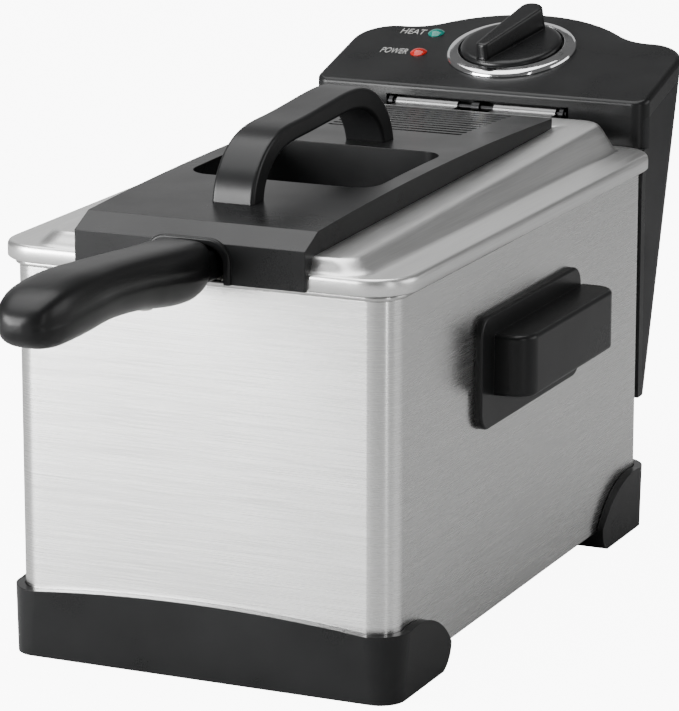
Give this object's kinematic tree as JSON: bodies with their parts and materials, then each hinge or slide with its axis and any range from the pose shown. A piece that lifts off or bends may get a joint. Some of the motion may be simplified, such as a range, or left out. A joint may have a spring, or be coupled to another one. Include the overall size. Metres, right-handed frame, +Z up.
{
  "type": "deep fryer",
  "caption": "Household deep fryer with a brushed steel body, hinged lid with window and vent, lift-out wire basket with front grip, and a plug-on rear control head with dial.",
  "frame": {"origin": "middle of the footprint box of the whole fryer, on the table that its feet stand on", "axes": "+Z up, -Y towards the user (the basket grip's end), +X to the user's right"},
  "size_m": [0.221, 0.5584, 0.2422],
  "materials": {
    "body_steel": "brushed stainless steel, grain along the length",
    "lid_steel": "brushed stainless steel, brighter at the front",
    "pan_steel": "drawn stainless steel, smooth",
    "black_plastic": "satin black moulding, fine grain",
    "grey_plastic": "dark grey moulding, fine texture",
    "grip_plastic": "black heat-proof grip, half gloss",
    "ring_chrome": "bright plated ring",
    "green_lens": "clear green lens",
    "red_lens": "clear red lens",
    "foot_rubber": "dull black",
    "seal_rubber": "dull black silicone",
    "window_glass": "clear toughened glass",
    "basket_wire": "nickel-plated steel wire",
    "element_steel": "dark heat-tinted sheath",
    "zinc_steel": "zinc-plated steel",
    "switch_plastic": "dark phenolic moulding",
    "button_plastic": "red push button",
    "pin_brass": "plated brass",
    "filter_felt": "grey metal-fibre felt"
  },
  "bodies": {
    "housing": {"outer_housing": "body_steel", "bottom_plate": "zinc_steel", "front_base": "black_plastic", "rear_base": "black_plastic", "rubber_feet": "foot_rubber", "base_screws": "zinc_steel", "side_handle_left": "black_plastic", "side_handle_right": "black_plastic", "side_handle_screws": "zinc_steel", "guide_rails": "zinc_steel", "interlock_tab": "zinc_steel"},
    "oil_pan": {"oil_pan": "pan_steel"},
    "control_unit": {"control_fascia": "black_plastic", "control_housing": "grey_plastic", "control_screws": "zinc_steel", "hinge_bracket": "zinc_steel", "hinge_pin": "zinc_steel", "micro_switch": "switch_plastic", "overheat_cutout": "switch_plastic", "power_inlet": "switch_plastic", "inlet_pins": "pin_brass", "dial_ring": "ring_chrome", "thermostat": "zinc_steel", "heat_lamp_lens": "green_lens", "power_lamp_lens": "red_lens", "indicator_lamps": "window_glass", "terminal_block": "switch_plastic", "heating_element": "element_steel", "element_bracket": "zinc_steel", "sensor_bulb": "pin_brass", "capillary_tube": "pin_brass", "bulb_clip": "zinc_steel"},
    "lid": {"lid_shell": "lid_steel", "lid_top_panel": "black_plastic", "lid_handle": "black_plastic", "window_gasket": "seal_rubber", "viewing_window": "window_glass", "window_frame": "zinc_steel", "filter_mesh": "filter_felt", "filter_retainer": "zinc_steel", "lid_screws": "zinc_steel", "hinge_tongues": "lid_steel"},
    "basket": {"basket_mesh": "basket_wire", "basket_frame": "basket_wire", "basket_bracket": "basket_wire", "basket_grip_upper": "grip_plastic", "basket_grip_lower": "grip_plastic", "grip_screws": "zinc_steel"},
    "dial": {"temperature_knob": "black_plastic", "knob_spindle": "zinc_steel"},
    "reset": {"reset_button": "button_plastic"},
    "plunger": {"interlock_plunger": "switch_plastic"}
  },
  "joints": [
    {"name": "pan_lift", "type": "slide", "parent": "housing", "child": "oil_pan", "axis": [0, 0, 1], "range_m": [0, 0.16]},
    {"name": "head_lift", "type": "slide", "parent": "oil_pan", "child": "control_unit", "axis": [0, 0, 1], "range_m": [0, 0.16]},
    {"name": "lid_hinge", "type": "hinge", "parent": "control_unit", "child": "lid", "pos_m": [0, 0.19031, 0.1988], "axis": [-1, 0, 0], "range_deg": [0, 68]},
    {"name": "basket_lift", "type": "slide", "parent": "control_unit", "child": "basket", "axis": [0, 0, 1], "range_m": [0, 0.075]},
    {"name": "dial_turn", "type": "hinge", "parent": "control_unit", "child": "dial", "pos_m": [0, 0.23521, 0.22013], "axis": [0, 0.2656, -0.9641], "range_deg": [0, 270]},
    {"name": "reset_press", "type": "slide", "parent": "control_unit", "child": "reset", "axis": [0, -0.9593, 0.2823], "range_m": [0, 0.002], "stiffness_N_per_m": 400, "springref_m": -0.0005},
    {"name": "interlock_press", "type": "slide", "parent": "control_unit", "child": "plunger", "axis": [0, 0, 1], "range_m": [0, 0.0015], "stiffness_N_per_m": 300, "springref_m": -0.0005}
  ],
  "couplings": [
    {"joint": "basket_lift", "follows": "lid_hinge", "m_per_rad": 0.06}
  ]
}
